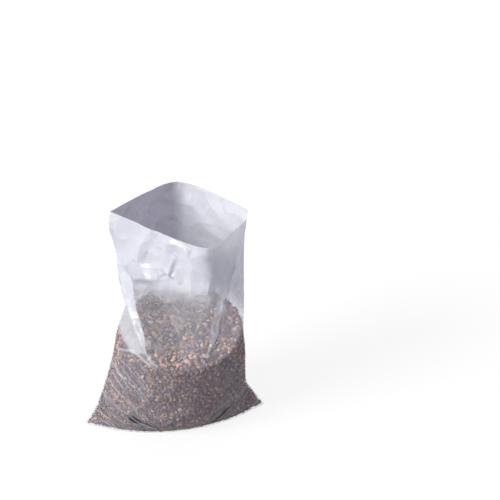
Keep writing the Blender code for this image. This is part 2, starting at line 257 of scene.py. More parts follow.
def color_points(mesh: Mesh, color: Color) -> None:
    """Gives every point of a mesh one stone colour."""
    layer = mesh.color_attributes.new("stone_color", "FLOAT_COLOR", "POINT")
    layer.data.foreach_set("color", np.tile(opaque(color), len(mesh.vertices)))


@dataclass
class StandingForm:
    """The shape that a filled lay-flat bag takes when it stands open on its base."""

    flat_width: float = 0.305
    seam_draw_in: float = 0.005
    foot_front: float = 0.049
    foot_back: float = 0.050
    full_height: float = 0.060
    shoulder_drop: float = 0.018
    neck_rise: float = 0.036
    fill_front: float = 0.133
    fill_back: float = 0.178
    mouth_turn: float = math.radians(-12.4)
    mouth_shift: float = 0.013
    apex_rounding: float = 0.55
    apexes: dict[Panel, float] = field(
        default_factory=lambda: {Panel.FRONT: 0.58, Panel.BACK: -0.15}
    )
    ridges: dict[Panel, tuple[Ridge, Ridge]] = field(
        default_factory=lambda: {
            Panel.FRONT: (
                Ridge(0.045, 0.37, 0.0, 0.55, 0.0080, 0.0090),
                Ridge(0.955, 0.60, 0.40, 1.0, 0.0070, 0.0080),
            ),
            Panel.BACK: (
                Ridge(0.060, 0.30, 0.1, 0.8, 0.0050, 0.0060),
                Ridge(0.940, 0.70, 0.2, 0.9, 0.0060, 0.0060),
            ),
        }
    )
    ridge_spread: float = 0.020
    ridge_fade: float = 0.012
    ridge_lean: float = 0.75
    ridge_swell: float = 1.5
    hollow_lean: float = 0.7
    rim_lifts: tuple[float, float, float, float] = (0.0, -0.003, 0.006, -0.003)
    rim_dip: float = -0.007
    rim_dip_place: float = 0.9775
    curve_points: int = 240
    halvings: int = 24
    mouth_height: float = field(init=False)
    levels: list[Station] = field(init=False)

    def __post_init__(self) -> None:
        """Takes the mouth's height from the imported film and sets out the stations."""
        self.mouth_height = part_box("film_bag")[1].z - max(self.rim_lifts)
        self.levels = self.stations()

    @property
    def girth(self) -> float:
        """The whole way round the film."""
        return 2 * self.flat_width

    def stations(self) -> list[Station]:
        """Sets out the levels that the film is drawn through.

        Returns:
            The levels from the floor to the mouth.
        """
        tip = 1 - 2 * self.seam_draw_in / self.flat_width
        shoulder = self.fill_back - self.shoulder_drop
        neck = self.fill_back + self.neck_rise
        belly = shoulder - self.full_height
        above = self.mouth_height - neck
        return [
            Station(0.0, -tip, tip, 1.0, 0.0),
            Station(0.4 * self.full_height, -0.865, 0.872, 0.90, 0.0),
            Station(0.8 * self.full_height, -0.793, 0.780, 0.65, 0.0),
            Station(self.full_height + 0.2 * belly, -0.715, 0.764, 0.30, 0.0),
            Station(self.full_height + 0.6 * belly, -0.633, 0.757, 0.05, 0.0),
            Station(shoulder, -0.580, 0.741, 0.0, 0.05),
            Station((shoulder + neck) / 2, -0.512, 0.744, 0.0, 0.19),
            Station(neck, -0.452, 0.748, 0.0, 0.35),
            Station(neck + 0.18 * above, -0.469, 0.748, 0.0, 0.50),
            Station(neck + 0.55 * above, -0.538, 0.754, 0.0, 0.85),
            Station(neck + 0.80 * above, -0.584, 0.767, 0.0, 0.95),
            Station(self.mouth_height, -0.570, 0.793, 0.0, 1.0),
        ]

    def value(self, name: str, height: float) -> float:
        """A station's value at any height.

        Args:
            name: The field of Station to read.
            height: The height above the floor.

        Returns:
            The value on a smooth curve through all the stations.
        """
        points = [(s.height, getattr(s, name)) for s in self.levels]
        if height <= points[0][0]:
            return points[0][1]
        if height >= points[-1][0]:
            return points[-1][1]
        index = max(i for i in range(len(points) - 1) if points[i][0] <= height)

        def slope(i: int) -> float:
            """The curve's slope at a station."""
            low, high = max(i - 1, 0), min(i + 1, len(points) - 1)
            return (points[high][1] - points[low][1]) / (points[high][0] - points[low][0])

        (h0, v0), (h1, v1) = points[index], points[index + 1]
        step = h1 - h0
        t = (height - h0) / step
        return (
            (2 * t**3 - 3 * t**2 + 1) * v0
            + (t**3 - 2 * t**2 + t) * step * slope(index)
            + (3 * t**2 - 2 * t**3) * v1
            + (t**3 - t**2) * step * slope(index + 1)
        )

    def soft_corner(self, x: np.ndarray, apex: float) -> np.ndarray:
        """A rounded corner of height about 1, falling to 0 at -1 and 1.

        Args:
            x: Places across, from -1 to 1.
            apex: The corner's own place.

        Returns:
            The height at each place.
        """

        def drop(at: np.ndarray) -> np.ndarray:
            """The corner before its ends are brought to 0."""
            left, right = (at + 1) / (apex + 1), (1 - at) / (1 - apex)
            return 0.5 * (left + right - np.hypot(left - right, self.apex_rounding))

        low, high = drop(np.array(-1.0)), drop(np.array(1.0))
        return drop(x) - low - (high - low) * (x + 1) / 2

    def section(self, height: float, panel: Panel) -> np.ndarray:
        """One panel's section: points from its left side fold to its right one.

        Args:
            height: The height above the floor.
            panel: The front or the back panel.

        Returns:
            The points as rows of x and y, round the middle between the side folds.
            Their run is the film's flat width, except where the bag meets the floor.
        """
        at = max(height, self.full_height)
        full = self.solve_depth(at, panel)
        foot = self.foot_front if panel is Panel.FRONT else self.foot_back
        rise = min(height / self.full_height, 1.0)
        depth = foot + (full - foot) * math.sin(math.pi / 2 * rise)
        return self.curve(height, panel, depth)

    def curve(self, height: float, panel: Panel, depth: float) -> np.ndarray:
        """The section's points for a given depth of bulge.

        Args:
            height: The height above the floor.
            panel: The front or the back panel.
            depth: How far the panel bulges out.

        Returns:
            The points as rows of x and y.
        """
        x = -np.cos(np.linspace(0, math.pi, self.curve_points + 1))
        lens, pouch = self.value("lens", height), self.value("pouch", height)
        arch = np.clip(1 - x * x, 0.0, None)
        lower = lens * arch + (1 - lens) * np.sqrt(arch)
        form = (1 - pouch) * lower + pouch * self.soft_corner(x, self.apexes[panel])
        half = self.flat_width / 2
        reach = half * (self.value("right", height) - self.value("left", height)) / 2
        return np.stack([reach * x, depth * form], axis=1)

    def solve_depth(self, height: float, panel: Panel) -> float:
        """Finds how far a panel bulges out by halving.

        Args:
            height: The height above the floor.
            panel: The front or the back panel.

        Returns:
            The depth at which the panel uses up the film's flat width.
        """
        low, high = 0.0, self.flat_width
        for _ in range(self.halvings):
            middle = (low + high) / 2
            steps = np.diff(self.curve(height, panel, middle), axis=0)
            if np.hypot(steps[:, 0], steps[:, 1]).sum() < self.flat_width:
                low = middle
            else:
                high = middle
        return low

    def ridge_place(self, ridge: Ridge, height: float) -> float:
        """Where a ridge crosses a height.

        Args:
            ridge: The ridge.
            height: The height above the floor.

        Returns:
            The place across its panel, from 0 to 1.
        """
        share = (height - self.fill_front) / (self.mouth_height - self.fill_front)
        reach = ridge.crossing_end - ridge.crossing_start
        crossed = float(smooth_step(np.array((share - ridge.crossing_start) / reach)))
        return ridge.fill_place + (ridge.mouth_place - ridge.fill_place) * crossed

    def ridge_push(self, panel: Panel, height: float, places: np.ndarray) -> np.ndarray:
        """How far the two ridges of a panel move its film out.

        Args:
            panel: The front or the back panel.
            height: The height above the floor.
            places: Places across the panel, from 0 to 1.

        Returns:
            The push at each place.
        """
        share = (height - self.fill_front) / (self.mouth_height - self.fill_front)
        push = np.zeros_like(places)
        if not 0 < share < 1:
            return push
        for side, ridge in zip((-1, 1), self.ridges[panel]):
            at = self.ridge_place(ridge, height)
            outer = (places - at) * side
            inside = ridge.crest * np.exp(np.minimum(outer, 0) * self.flat_width / self.ridge_spread)
            side_fold = 1.0 if side > 0 else 0.0
            across = np.clip(outer / abs(side_fold - at), 0.0, 1.0)
            beside = ridge.crest * (1 - across) ** 2
            beside -= ridge.hollow * np.sin(math.pi * across**self.hollow_lean)
            push += np.where(outer <= 0, inside, beside)
        fade = smooth_step(np.minimum(places, 1 - places) * self.flat_width / self.ridge_fade)
        return push * fade * math.sin(math.pi * share**self.ridge_lean) ** self.ridge_swell

    def row(self, height: float, panel: Panel, places: np.ndarray) -> np.ndarray:
        """One panel's points at a height, from its left side fold on.

        Args:
            height: The height above the floor.
            panel: The front or the back panel.
            places: Where the points are, from 0 to 1 across the panel.

        Returns:
            The points as rows of x, y and z.
        """
        curve = self.section(height, panel)
        steps = np.diff(curve, axis=0)
        lengths = np.hypot(steps[:, 0], steps[:, 1])
        run = np.concatenate([[0.0], np.cumsum(lengths)])
        wanted = places * run[-1]
        x = np.interp(wanted, run, curve[:, 0])
        y = np.interp(wanted, run, curve[:, 1])
        middle = (run[1:] + run[:-1]) / 2
        out_x = np.interp(wanted, middle, -steps[:, 1] / lengths)
        out_y = np.interp(wanted, middle, steps[:, 0] / lengths)
        push = self.ridge_push(panel, height, places)
        x = x + out_x * push
        y = (y + out_y * push) * panel.value
        rise = (height - self.full_height) / (self.mouth_height - self.full_height)
        turning = float(smooth_step(np.array(rise)))
        cosine, sine = math.cos(self.mouth_turn * turning), math.sin(self.mouth_turn * turning)
        half = self.flat_width / 2
        centre = half * (self.value("left", height) + self.value("right", height)) / 2
        return np.stack(
            [
                centre + x * cosine - y * sine,
                self.mouth_shift * turning + x * sine + y * cosine,
                np.full_like(x, height),
            ],
            axis=1,
        )

    def rim_lift(self, round_film: np.ndarray) -> np.ndarray:
        """How far the mouth's edge stands above its mean height.

        Args:
            round_film: Shares of the way round the film, from the left side fold
                along the front panel and back along the back one.

        Returns:
            The lift at each of them.
        """
        left, front, right, back = self.rim_lifts
        front_at = (1 + self.apexes[Panel.FRONT]) / 4
        back_at = (3 - self.apexes[Panel.BACK]) / 4
        dip_at = self.rim_dip_place / 2
        stops = (
            (0.0, left),
            (front_at, front),
            (dip_at, self.rim_dip),
            (0.5, right),
            (back_at, back),
            (1.0, left),
        )
        lift = np.zeros_like(round_film)
        for (start, low), (end, high) in zip(stops, stops[1:]):
            inside = (round_film >= start) & (round_film <= end)
            eased = low + (high - low) * smooth_step((round_film - start) / (end - start))
            lift = np.where(inside, eased, lift)
        return lift


class NodeTree:
    """The nodes of a material or a world, with a short way to add each kind.

    A value for a socket is a fixed number or colour, or another node's output.
    """

    def __init__(self, owner: Material | World) -> None:
        """Switches the owner's nodes on."""
        owner.use_nodes = True
        self.nodes, self.links = owner.node_tree.nodes, owner.node_tree.links

    def feed(self, node: Node, values: dict[str | int, Input]) -> None:
        """Gives a node's inputs their values.

        Args:
            node: The node.
            values: What each input takes, by the input's name or number.
        """
        for name, value in values.items():
            if isinstance(value, NodeSocket):
                self.links.new(value, node.inputs[name])
            else:
                node.inputs[name].default_value = value

    def place(self) -> NodeSocket:
        """Adds the piece's own coordinates."""
        return self.nodes.new("ShaderNodeTexCoord").outputs["Object"]

    def attribute(self, name: str, output: str = "Fac") -> NodeSocket:
        """Adds a reader for what the mesh holds on its points.

        Args:
            name: The attribute's name.
            output: Fac for a number, or Color for a colour.

        Returns:
            The attribute's value.
        """
        made = self.nodes.new("ShaderNodeAttribute")
        made.attribute_name = name
        return made.outputs[output]

    def noise(
        self, place: NodeSocket, scale: float, detail: float = 2.0, output: str = "Fac"
    ) -> NodeSocket:
        """Adds a noise texture.

        Args:
            place: The coordinates to read.
            scale: The texture's scale, per metre of them.
            detail: How many finer octaves it has.
            output: Fac for one value, or Color for three.

        Returns:
            The texture's value.
        """
        made = self.nodes.new("ShaderNodeTexNoise")
        self.feed(made, {"Vector": place, "Scale": scale, "Detail": detail})
        return made.outputs[output]

    def math(self, operation: str, first: Input, second: Input) -> NodeSocket:
        """Adds a calculation with two numbers.

        Args:
            operation: Blender's name for it.
            first: The first number.
            second: The second number.

        Returns:
            The result.
        """
        made = self.nodes.new("ShaderNodeMath")
        made.operation = operation
        self.feed(made, {0: first, 1: second})
        return made.outputs["Value"]

    def vector_math(self, operation: str, values: dict[str | int, Input]) -> NodeSocket:
        """Adds a calculation with vectors.

        Args:
            operation: Blender's name for it.
            values: What each input takes.

        Returns:
            The result.
        """
        made = self.nodes.new("ShaderNodeVectorMath")
        made.operation = operation
        self.feed(made, values)
        return made.outputs["Vector"]

    def span(self, value: NodeSocket, source: Span, result: Span) -> NodeSocket:
        """Adds a map from one range of values to another.

        Args:
            value: The value to map.
            source: The range that it is mapped from, and held inside.
            result: The range that it is mapped to.

        Returns:
            The mapped value.
        """
        made = self.nodes.new("ShaderNodeMapRange")
        names = ("From Min", "From Max", "To Min", "To Max")
        self.feed(made, {"Value": value, **dict(zip(names, (*source, *result)))})
        return made.outputs["Result"]

    def mixed(self, share: NodeSocket, first: Input, second: Input) -> NodeSocket:
        """Adds a mix of two colours.

        Args:
            share: The second colour's share.
            first: The first colour.
            second: The second colour.

        Returns:
            The mixed colour.
        """
        made = self.nodes.new("ShaderNodeMix")
        made.data_type = "RGBA"
        self.feed(made, {"Factor": share, "A": first, "B": second})
        return made.outputs["Result"]

    def bumps(self, layers: Iterable[tuple[NodeSocket, float]]) -> NodeSocket:
        """Adds layers of bumps, each on top of the one before it.

        Args:
            layers: Each layer's height from 0 to 1, and its depth in metres.

        Returns:
            The bumped normal.
        """
        below: dict[str | int, Input] = {}
        for height, depth in layers:
            made = self.nodes.new("ShaderNodeBump")
            self.feed(made, {"Height": height, "Distance": depth, **below})
            below = {"Normal": made.outputs["Normal"]}
        return below["Normal"]

    def shaders(self, share: NodeSocket, first: Node, second: Node, output: str) -> None:
        """Adds a mix of two shaders and shows it.

        Args:
            share: The second shader's share.
            first: The first shader.
            second: The second shader.
            output: The name of the node that shows the mix.
        """
        made = self.nodes.new("ShaderNodeMixShader")
        self.feed(made, {"Fac": share, 1: first.outputs[0], 2: second.outputs[0]})
        self.feed(self.nodes[output], {"Surface": made.outputs["Shader"]})


@dataclass(frozen=True)
class PolytheneFinish:
    """Heavy clear polythene: milky where it stands free, clear where it clings."""

    name: str = "clear_polythene"
    pale: Color = (0.715, 0.765, 0.85)
    faint: Color = (0.65, 0.69, 0.78)
    # Painted shade colour for the inner side of the back panel's left part.
    deep: Color = (0.33, 0.31, 0.42)
    # Painted shadow colour for the dark lines in the tucks near the base.
    shade: Color = (0.02, 0.012, 0.012)
    free_alpha: float = 0.66
    clinging_alpha: float = 0.07
    drag_alpha: float = 0.38
    translucency: float = 0.55
    translucent_reach: float = 0.0012
    refraction: float = 1.5
    roughness: float = 0.29
    shine: float = 0.5
    matt_tuck_shade: float = 0.8
    cloud_scale: float = 24.0
    cloud_edges: Span = (0.36, 0.64)
    facet_scale: float = 27.0
    facet_warp: float = 0.020
    facet_warp_scale: float = 0.7
    facet_depth: float = 0.0078
    crumple_scale: float = 60.0
    crumple_depth: float = 0.0020
    fine_scale: float = 240.0
    fine_depth: float = 0.00030
    drag_lines: float = 300.0
    drag_run: float = 16.0
    drag_depth: float = 0.0009
    drag_edges: Span = (0.56, 0.72)

    def material(self, inner: bool) -> Material:
        """Makes the film's material, which reads the mesh's attributes.

        Args:
            inner: Whether it is for the bag's inside, which has a painted shade in places.

        Returns:
            The material.
        """
        made = bpy.data.materials.new(f"{self.name}_{'inside' if inner else 'outside'}")
        tree = NodeTree(made)
        place = tree.place()
        haze, drag, tuck = (tree.attribute(name) for name in ("haze", "drag", "tuck"))
        cloud = tree.noise(place, self.cloud_scale, 1.0)
        cloud = tree.span(cloud, self.cloud_edges, (0.0, 1.0))
        milk = tree.mixed(cloud, opaque(self.faint), opaque(self.pale))
        if inner:
            # Painted shade on the inside of the back panel.
            milk = tree.mixed(tree.attribute("dim"), milk, opaque(self.deep))
        lines = self.drag_texture(tree)
        streak = tree.span(lines, self.drag_edges, (0.0, self.drag_alpha))
        alpha = tree.span(haze, (0.0, 1.0), (self.clinging_alpha, self.free_alpha))
        alpha = tree.math("ADD", alpha, tree.math("MULTIPLY", streak, drag))
        bumps = (
            (tree.math("MULTIPLY", lines, drag), self.drag_depth),
            (self.facets(tree, place), self.facet_depth),
            (tree.noise(place, self.crumple_scale), self.crumple_depth),
            (tree.noise(place, self.fine_scale), self.fine_depth),
        )
        values = {
            # Painted shadow in the tucks: the film's colour turns dark, its alpha rises and its shine
            # drops.
            "Base Color": tree.mixed(tuck, milk, opaque(self.shade)),
            "Roughness": self.roughness,
            "IOR": self.refraction,
            "Specular IOR Level": tree.span(tuck, (0.0, self.matt_tuck_shade), (self.shine, 0.0)),
            "Subsurface Weight": self.translucency,
            "Subsurface Radius": (1.0, 1.0, 1.0),
            "Subsurface Scale": self.translucent_reach,
            "Alpha": tree.math("MAXIMUM", alpha, tuck),
            "Normal": tree.bumps(bumps),
        }
        tree.feed(tree.nodes["Principled BSDF"], values)
        return made

    def facets(self, tree: NodeTree, place: NodeSocket) -> NodeSocket:
        """Adds the flat facets with crisp edges between them of crumpled film.

        Args:
            tree: The material's nodes.
            place: The coordinates to read.

        Returns:
            The facets' height.
        """
        warp = tree.noise(place, self.facet_scale * self.facet_warp_scale, 1.0, "Color")
        pushed = tree.vector_math("MULTIPLY_ADD", {0: warp, 1: (self.facet_warp,) * 3, 2: place})
        cells = tree.nodes.new("ShaderNodeTexVoronoi")
        tree.feed(cells, {"Vector": pushed, "Scale": self.facet_scale})
        return cells.outputs["Distance"]

    def drag_texture(self, tree: NodeTree) -> NodeSocket:
        """Adds fine streaks that run along the film's drag lines.

        Args:
            tree: The material's nodes.

        Returns:
            The streaks' value.
        """
        across = tree.math("MULTIPLY", tree.attribute("drag_across"), self.drag_lines)
        along = tree.math("MULTIPLY", tree.attribute("film_round"), self.drag_run)
        both = tree.nodes.new("ShaderNodeCombineXYZ")
        tree.feed(both, {"X": across, "Y": along})
        return tree.noise(both.outputs["Vector"], 1.0, 1.0)


@dataclass(frozen=True)
class StoneFinish:
    """Worn stone, coloured by the mesh's stone_color attribute and flecked."""

    name: str
    fleck_scale: float = 700.0
    fleck_edges: Span = (0.3, 0.7)
    fleck_light: Span = (0.55, 1.35)
    grain_scale: float = 1500.0
    grain_depth: float = 0.00025
    roughness: float = 0.72

    def material(self) -> Material:
        """Makes the material.

        Returns:
            The material.
        """
        made = bpy.data.materials.new(self.name)
        tree = NodeTree(made)
        place = tree.place()
        fleck = tree.noise(place, self.fleck_scale, 4.0)
        light = tree.span(fleck, self.fleck_edges, self.fleck_light)
        tone = tree.attribute("stone_color", "Color")
        grain = tree.noise(place, self.grain_scale)
        values = {
            "Base Color": tree.vector_math("SCALE", {0: tone, "Scale": light}),
            "Roughness": self.roughness,
            "Normal": tree.bumps([(grain, self.grain_depth)]),
        }
        tree.feed(tree.nodes["Principled BSDF"], values)
        return made


@dataclass
class PanelGrid:
    """One panel of the film as a grid: rows up from the seal, columns round the bag.

    around is each column's distance round the film. heights are the rows', where the
    rows of the flat base count from -1 at the seam to 0 at the floor's edge.
    """

    panel: Panel
    around: np.ndarray
    heights: np.ndarray
    points: np.ndarray

    def normals(self) -> np.ndarray:
        """The grid's directions out of the bag.

        Returns:
            A unit vector for each of its points.
        """
        across, up = np.gradient(self.points, axis=1), np.gradient(self.points, axis=0)
        out = np.cross(across, up)
        length = np.linalg.norm(out, axis=2, keepdims=True)
        return out / np.maximum(length, MERGE_DISTANCE**2)

    def column_at(self, column: int, height: float) -> np.ndarray:
        """A column's point at any height above the floor."""
        return np.array([np.interp(height, self.heights, self.points[:, column, i]) for i in range(3)])


@dataclass
class Heap:
    """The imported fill's surface, as the film and the stones need it."""

    middle: Place = (0.02, 0.0)
    inset: float = 0.008
    lowest: float = 0.09
    highest: float = 0.22
    halvings: int = 12
    surface: BVHTree = field(init=False)

    def __post_init__(self) -> None:
        """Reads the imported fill."""
        graph = bpy.context.evaluated_depsgraph_get()
        self.surface = BVHTree.FromObject(bpy.data.objects["gravel_fill"], graph)

    def height(self, x: float, y: float) -> float:
        """The height of the fill's surface over a point of the floor."""
        hit = self.surface.ray_cast(Vector((x, y, 1.0)), Vector((0, 0, -1)))[0]
        return hit.z if hit else 0.0

    def contact(self, grid: PanelGrid, column: int) -> float:
        """Where the heap meets the film.

        Args:
            grid: One of the film's panels.
            column: The column of it to follow up.

        Returns:
            The height above the floor, found by halving.
        """
        low, high = self.lowest, self.highest
        for _ in range(self.halvings):
            height = (low + high) / 2
            x, y, _z = grid.column_at(column, height)
            inward = Vector((self.middle[0] - x, self.middle[1] - y)).normalized() * self.inset
            if self.height(x + inward.x, y + inward.y) > height:
                low = height
            else:
                high = height
        return low


@dataclass
class FilmBag:
    """The bag: one tube of film, closed at its base, with its creases.

    Each panel is a grid of its own, and the two meet along the side folds.
    """

    form: StandingForm
    heap: Heap
    finish: PolytheneFinish = PolytheneFinish()
    thickness: float = 0.00025
    columns: int = 216
    wall_rows: int = 200
    base_rows: int = 8
    free_over: float = 0.010
    free_early: float = 0.014
    free_smoothing: int = 9
    veil: float = 0.17
    milky_from: float = 0.257
    milky_over: float = 0.045
    back_milky_from: float = 0.165
    haze_width: float = 0.0011
    rim_haze: float = 0.3
    most_haze: float = 1.45
    crumple_seed: int = 11
    crumple_count: int = 190
    crumple_lowest: float = 0.17
    crumple_lean: Span = (75.0, 35.0)
    crumple_length: Span = (0.010, 0.050)
    crumple_rise: Span = (0.012, 0.030)
    crumple_width: float = 0.14
    crumple_haze: float = 0.08
    edge_from: float = 0.001
    edge_over: float = 0.012
    # The tucks near the base are drawn as lines of painted shadow: each line's points and how dark it
    # gets.
    tuck_shade_width: float = 0.0011
    darkest_tuck_shade: float = 0.92
    tuck_shade_lines: tuple[tuple[Outline, float], ...] = (
        (((0.057, 0.044), (0.074, 0.034), (0.086, 0.023)), 4.8),
        (((0.070, 0.047), (0.084, 0.038), (0.099, 0.028), (0.113, 0.018)), 4.8),
        (((0.066, 0.036), (0.078, 0.027)), 3.2),
        (((0.094, 0.036), (0.108, 0.028)), 2.9),
        (((0.204, 0.008), (0.221, 0.022), (0.242, 0.035)), 5.1),
        (((0.207, 0.014), (0.222, 0.028), (0.236, 0.038)), 3.8),
        (((0.196, 0.024), (0.212, 0.036), (0.229, 0.043)), 2.2),
    )
    pull_bend: float = 5.6
    pull_reach: Span = (0.055, 0.125)
    pull_top: Span = (0.125, 0.165)
    pull_strengths: tuple[float, float, float] = (1.0, 0.55, 0.7)
    # The back panel's left part: milkier film, with a painted shade on its inner side.
    back_shade_patch: HazePatch = HazePatch(
        ((-0.150, 0.100), (0.0, 0.100), (0.0, 0.400), (-0.150, 0.400)), 0.45, 0.030
    )
    patches: tuple[HazePatch, ...] = (
        # The milky facet and blade on the left.
        HazePatch(
            (
                (0.008, 0.140), (0.053, 0.158), (0.088, 0.168), (0.069, 0.195), (0.050, 0.209),
                (0.030, 0.235), (0.015, 0.287), (-0.012, 0.287), (-0.030, 0.240), (-0.030, 0.165),
            ),
            0.48,
            0.004,
        ),
        HazePatch(
            (
                (0.015, 0.290), (0.021, 0.248), (0.050, 0.209), (0.069, 0.195), (0.090, 0.170),
                (0.080, 0.192), (0.065, 0.209), (0.053, 0.226), (0.048, 0.248), (0.044, 0.270),
            ),
            0.80,
            0.003,
        ),
        # The clear band beside the blade.
        HazePatch(
            (
                (0.053, 0.226), (0.065, 0.209), (0.088, 0.180), (0.107, 0.156), (0.112, 0.142),
                (0.128, 0.129), (0.150, 0.138), (0.151, 0.151), (0.141, 0.180), (0.130, 0.204),
                (0.118, 0.234), (0.105, 0.256), (0.074, 0.250),
            ),
            -0.08,
            0.005,
        ),
        # The film in front of the heap, its right part and the bright ridge.
        HazePatch(
            (
                (0.100, 0.290), (0.112, 0.245), (0.130, 0.204), (0.151, 0.155),
                (0.176, 0.190), (0.183, 0.240), (0.196, 0.285),
            ),
            0.03,
            0.012,
        ),
        HazePatch(
            ((0.190, 0.140), (0.330, 0.175), (0.330, 0.300), (0.250, 0.300), (0.200, 0.260)),
            0.14,
            0.020,
        ),
        HazePatch(
            (
                (0.181, 0.172), (0.185, 0.226), (0.202, 0.270), (0.240, 0.302),
                (0.228, 0.310), (0.194, 0.275), (0.180, 0.232),
            ),
            0.25,
            0.004,
        ),
    )
    folds: tuple[Crease, ...] = (
        # The star of folds below the mouth.
        Crease(((0.135, 0.334), (0.127, 0.318), (0.119, 0.300)), 0.0060, 0.004, 0.022, 0.3, True),
        Crease(((0.118, 0.302), (0.130, 0.303), (0.138, 0.293)), 0.0040, 0.012, 0.005, 0.3, True),
        Crease(((0.100, 0.291), (0.120, 0.303)), -0.0034, 0.004, 0.006, 0.0, True),
        Crease(
            ((0.042, 0.270), (0.067, 0.280), (0.090, 0.286), (0.122, 0.303)),
            0.0062, 0.022, 0.007, 0.25, True,
        ),
        Crease(((0.044, 0.269), (0.072, 0.271), (0.106, 0.273)), -0.0046, 0.007, 0.012, 0.0, True),
        Crease(((0.088, 0.366), (0.053, 0.297)), 0.0050, 0.012, 0.024, 0.1, True),
        Crease(((0.108, 0.350), (0.135, 0.356), (0.160, 0.350)), 0.0040, 0.007, 0.014, 0.2, True),
        # The facet's lower edge, and the blade's outer one.
        Crease(
            ((0.011, 0.144), (0.053, 0.159), (0.075, 0.161), (0.109, 0.144)),
            0.0028, 0.006, 0.003, 0.8,
        ),
        Crease(((0.053, 0.160), (0.090, 0.170)), -0.0014, 0.003, 0.003),
        Crease(
            (
                (0.015, 0.287), (0.022, 0.248), (0.050, 0.209),
                (0.069, 0.195), (0.090, 0.170), (0.110, 0.148),
            ),
            0.0010, 0.002, 0.003, 1.1,
        ),
        # The drag folds over the gravel, towards the left corner and the right one.
        Crease(
            ((0.006, 0.071), (0.042, 0.054), (0.074, 0.041), (0.110, 0.026)),
            0.0020, 0.002, 0.004, 0.35,
        ),
        Crease(
            ((0.021, 0.112), (0.059, 0.110), (0.076, 0.097), (0.095, 0.078)),
            0.0014, 0.002, 0.002, 0.30,
        ),
        Crease(((0.013, 0.139), (0.055, 0.133), (0.080, 0.119)), 0.0012, 0.002, 0.002, 0.30),
        Crease(
            ((0.010, 0.094), (0.046, 0.081), (0.071, 0.063), (0.099, 0.044)),
            0.0012, 0.002, 0.002, 0.30,
        ),
        Crease(((0.057, 0.044), (0.074, 0.034), (0.086, 0.023)), -0.0036, 0.0016, 0.0016),
        Crease(((0.074, 0.046), (0.099, 0.028), (0.113, 0.018)), -0.0036, 0.0016, 0.0016),
        Crease(((0.062, 0.049), (0.090, 0.036), (0.104, 0.026)), 0.0012, 0.0016, 0.0016, 0.25),
        Crease(((0.204, 0.008), (0.221, 0.022), (0.242, 0.035)), -0.0040, 0.0018, 0.0018),
        Crease(((0.196, 0.024), (0.212, 0.036), (0.229, 0.043)), -0.0020, 0.0015, 0.0015),
        Crease(
            ((0.282, 0.050), (0.244, 0.052), (0.215, 0.046), (0.190, 0.030)),
            0.0018, 0.003, 0.003, 0.30,
        ),
        # The right ridge and the line beside it.
        Crease(
            (
                (0.303, 0.352), (0.273, 0.318), (0.236, 0.297),
                (0.202, 0.270), (0.188, 0.234), (0.181, 0.175),
            ),
            0.0044, 0.0080, 0.0032, 1.9,
        ),
        Crease(
            ((0.246, 0.288), (0.214, 0.262), (0.203, 0.230), (0.194, 0.190)),
            0.0012, 0.003, 0.003, 0.7,
        ),
    )
    grids: dict[Panel, PanelGrid] = field(init=False)
    surfaces: list[BVHTree] = field(default_factory=list)

    def __post_init__(self) -> None:
        """Works out both panels' grids, creases and all."""
        self.grids = {panel: self.grid(panel) for panel in Panel}

    def build(self) -> list[Object]:
        """Makes the film's two panels.

        Returns:
            The panels, ready to show.
        """
        made = []
        finishes = [self.finish.material(inner) for inner in (False, True)]
        for panel, grid in self.grids.items():
            piece = self.sheet(f"film_{panel.name.lower()}", grid)
            wall = piece.modifiers.new("Wall", "SOLIDIFY")
            wall.thickness = self.thickness
            wall.offset = -1.0
            wall.material_offset = 1
            for finish in finishes:
                piece.data.materials.append(finish)
            settle_modifiers(piece)
            piece.data.shade_smooth()
            made.append(piece)
        return made

    def grid(self, panel: Panel) -> PanelGrid:
        """A panel's grid, with its creases and its share of the rim's lift.

        Args:
            panel: The front or the back panel.

        Returns:
            The grid.
        """
        form = self.form
        places = np.linspace(0.0, 1.0, self.columns + 1)
        around = places * form.flat_width
        if panel is Panel.BACK:
            around = around + form.flat_width
            places = places[::-1]
        base = np.linspace(-1.0, 0.0, self.base_rows + 1)[:-1]
        heights = np.concatenate([base, np.linspace(0.0, form.mouth_height, self.wall_rows + 1)])
        rows = [form.row(max(height, 0.0), panel, places) for height in heights]
        made = PanelGrid(panel, around, heights, np.stack(rows))
        made.points[: self.base_rows, :, 1] *= (1 + base)[:, None]
        start = form.fill_back + form.neck_rise
        raised = smooth_step((heights - start) / (form.mouth_height - start))
        made.points[..., 2] += raised[:, None] * form.rim_lift(around / form.girth)[None, :]
        made.points += made.normals() * self.crease_rise(made)[..., None]
        made.points[..., 2] = np.maximum(made.points[..., 2], 0.0)
        return made

    def creases(self) -> list[Crease]:
        """The fold lines that show, and a scatter of small ones all over the film."""
        return [*self.folds, *self.crumples()]

    def crumples(self) -> list[Crease]:
        """Small creases, seeded, that lean as the film's own pull does.

        Returns:
            The creases.
        """
        dice = random.Random(self.crumple_seed)
        made = []
        for _ in range(self.crumple_count):
            at = dice.uniform(0.0, self.form.girth)
            height = dice.uniform(self.crumple_lowest, self.form.mouth_height)
            angle = math.radians(dice.gauss(*self.crumple_lean))
            length = dice.uniform(*self.crumple_length)
            step = (math.cos(angle) * length / 2, math.sin(angle) * length / 2)
            ends = ((at - step[0], height - step[1]), (at + step[0], height + step[1]))
            rise = dice.choice((-1, 1)) * length * dice.uniform(*self.crumple_rise)
            width = length * self.crumple_width
            made.append(Crease(ends, rise, width, width, dice.uniform(0.0, self.crumple_haze)))
        return made

